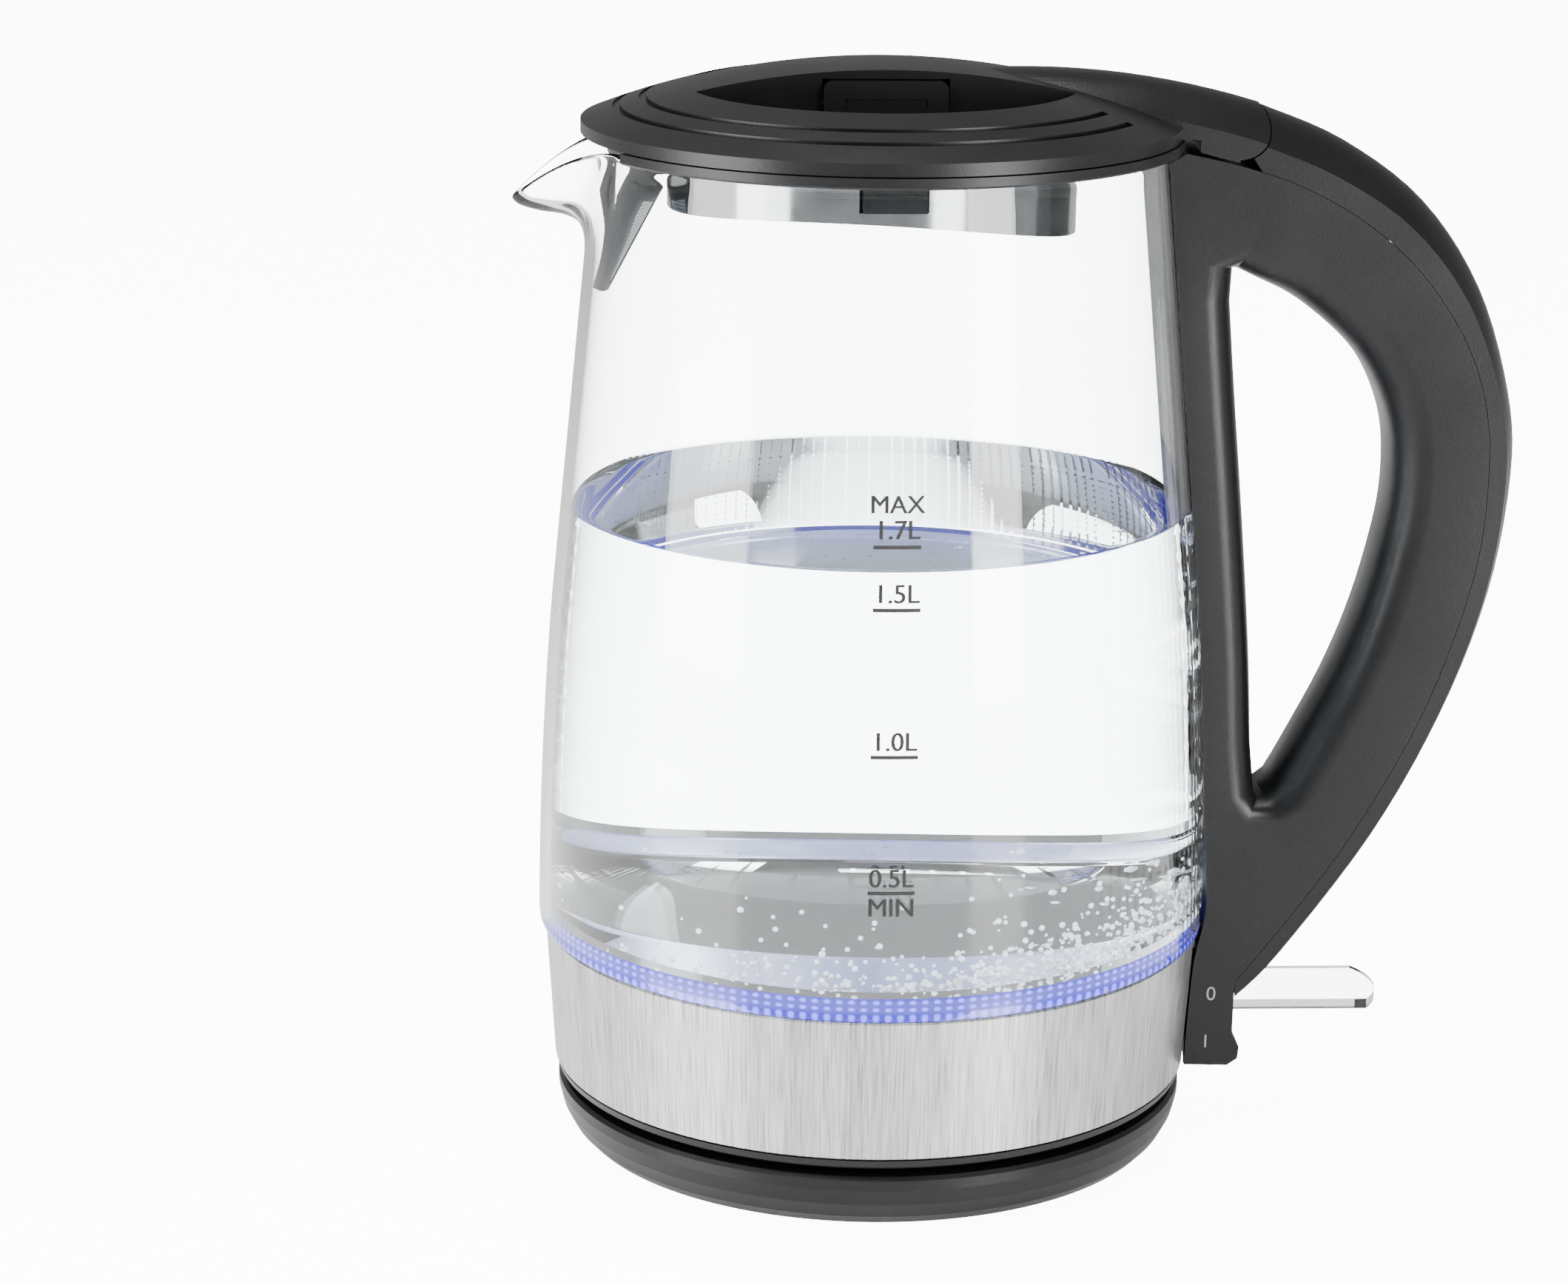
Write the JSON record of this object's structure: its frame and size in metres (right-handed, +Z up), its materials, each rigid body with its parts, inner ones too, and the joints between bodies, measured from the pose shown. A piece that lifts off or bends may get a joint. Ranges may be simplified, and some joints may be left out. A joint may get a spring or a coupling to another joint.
{
  "type": "electric kettle",
  "caption": "Cordless glass electric kettle: tapered glass jug with a lit steel foot, hinged lid with squeeze buttons, C-shaped handle and a round power base.",
  "frame": {"origin": "centre of the power base's underside, at the level where its feet stand on the table", "axes": "+Z up the jug's axis, -X towards the spout, +X towards the handle, -Y towards the side with the litre marks"},
  "size_m": [0.2235, 0.1522, 0.2453],
  "materials": {
    "black_shell": "satin moulded",
    "foot_rubber": "matt",
    "zinc_screw": "zinc plated",
    "connector_black": "moulded",
    "contact_brass": "bright",
    "lead_sleeve": "satin",
    "gland_rubber": "matt",
    "jug_glass": "clear",
    "brushed_band": "brushed upright",
    "plate_steel": "satin",
    "heater_aluminium": "cast",
    "clear_silicone": "clear",
    "light_guide": "frosted, lit blue",
    "circuit_board": "solder mask",
    "led_lens": "clear",
    "control_nylon": "moulded",
    "bimetal": "rolled",
    "collar_black": "satin moulded",
    "seal_silicone": "matt",
    "filter_smoke": "smoked",
    "mesh_steel": "woven",
    "handle_black": "satin moulded",
    "pin_steel": "ground",
    "lever_clear": "clear",
    "lid_black": "satin moulded",
    "skirt_polished": "polished",
    "button_black": "satin moulded"
  },
  "bodies": {
    "power_base": {"base_shell": "black_shell", "base_bottom": "black_shell", "base_feet": "foot_rubber", "base_screws": "zinc_screw", "base_connector": "connector_black", "base_contact_rings": "contact_brass", "base_leads": "lead_sleeve", "cord_gland": "gland_rubber"},
    "jug": {"glass_jug": "jug_glass", "steel_band": "brushed_band", "jug_bottom": "black_shell", "jug_bottom_screws": "zinc_screw", "jug_socket": "connector_black", "socket_contacts": "contact_brass", "chassis_ring": "black_shell", "heating_plate": "plate_steel", "heat_spreader": "heater_aluminium", "heating_element": "heater_aluminium", "plate_gasket": "clear_silicone", "light_ring": "light_guide", "led_board": "circuit_board", "leds": "led_lens", "control_box": "control_nylon", "bimetal_discs": "bimetal", "jug_wiring": "lead_sleeve", "collar": "collar_black", "collar_seal": "seal_silicone", "filter_frame": "filter_smoke", "filter_mesh": "mesh_steel", "handle_inner": "handle_black", "handle_outer": "handle_black", "handle_screws": "zinc_screw", "steam_tube": "seal_silicone", "steam_switch": "bimetal", "hinge_pin": "pin_steel", "switch_pin": "pin_steel"},
    "lid": {"lid_top": "lid_black", "lid_liner": "collar_black", "lid_seal": "seal_silicone", "lid_skirt": "skirt_polished", "lid_bottom": "collar_black", "lid_screws": "zinc_screw", "latch_spring_near": "pin_steel", "latch_spring_far": "pin_steel"},
    "near_latch": {"latch_bolt_near": "collar_black", "lid_button_near": "button_black"},
    "far_latch": {"latch_bolt_far": "collar_black", "lid_button_far": "button_black"},
    "switch": {"switch_lever": "lever_clear"}
  },
  "joints": [
    {"name": "jug_lift", "type": "slide", "parent": "power_base", "child": "jug", "axis": [0, 0, 1], "range_m": [0, 0.12]},
    {"name": "lid_hinge", "type": "hinge", "parent": "jug", "child": "lid", "pos_m": [0.0773, 0, 0.2324], "axis": [0, 1, 0], "range_deg": [0, 75]},
    {"name": "near_button", "type": "slide", "parent": "lid", "child": "near_latch", "axis": [0, 1, 0], "range_m": [0, 0.0025], "stiffness_N_per_m": 400, "springref_m": -0.002, "deforming": ["latch_spring_near"]},
    {"name": "far_button", "type": "slide", "parent": "lid", "child": "far_latch", "axis": [0, -1, 0], "range_m": [0, 0.0025], "stiffness_N_per_m": 400, "springref_m": -0.002, "deforming": ["latch_spring_far"]},
    {"name": "switch_lever", "type": "hinge", "parent": "jug", "child": "switch", "pos_m": [0.0784, 0, 0.0304], "axis": [0, 1, 0], "range_deg": [0, 14]}
  ]
}
